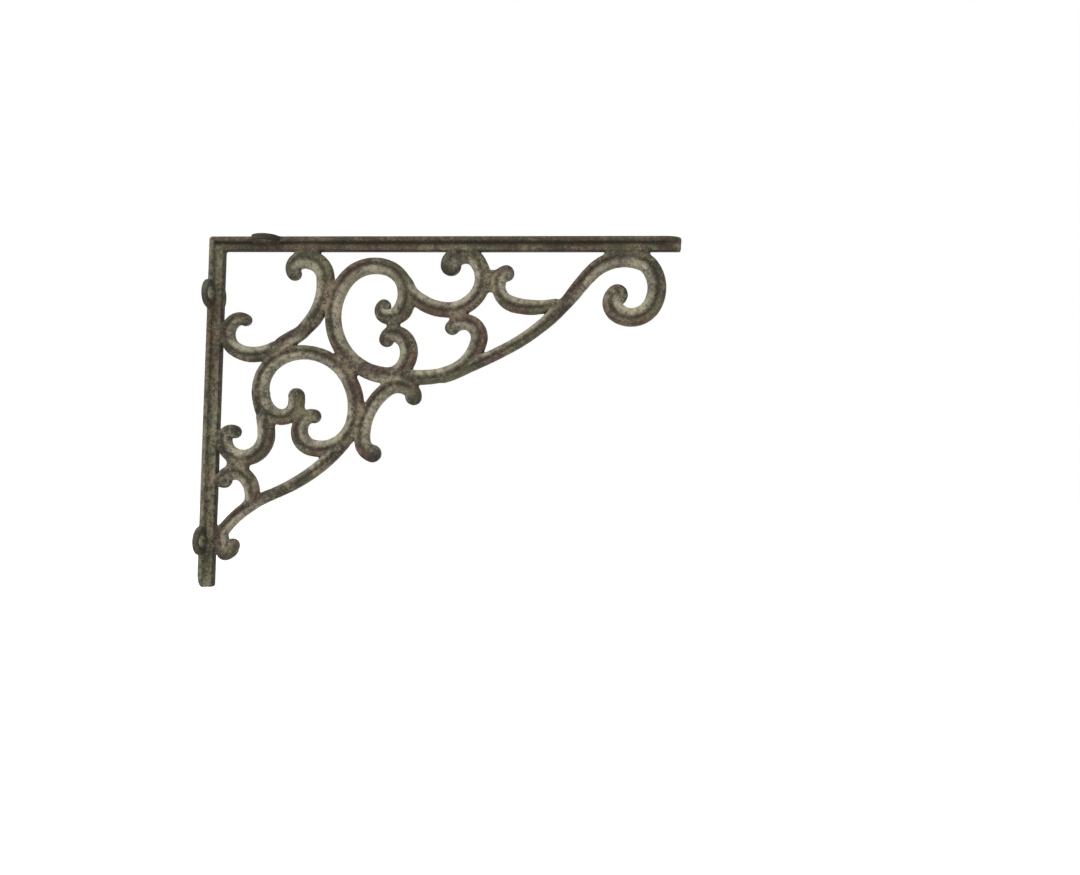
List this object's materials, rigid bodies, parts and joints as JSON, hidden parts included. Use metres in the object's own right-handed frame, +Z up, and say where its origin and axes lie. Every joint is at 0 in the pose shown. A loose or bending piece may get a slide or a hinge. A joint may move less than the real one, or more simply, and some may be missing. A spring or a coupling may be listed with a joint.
{
  "type": "cast iron scroll shelf bracket",
  "caption": "Ornate cast iron shelf bracket: an L of ribbed flanges filled with openwork scrolls, with countersunk screw ears for the wall and the shelf.",
  "frame": {"origin": "on the wall face, on the bracket's middle plane, level with the upper pair of wall screws", "axes": "+X out from the wall, +Z up towards the shelf, Y along the shelf's edge"},
  "size_m": [0.2928, 0.03, 0.2188],
  "materials": {
    "weathered_iron": "weathered: matt grey-olive patina with rust in the hollows"
  },
  "bodies": {
    "root": {"bracket_casting": "weathered_iron"}
  },
  "joints": []
}
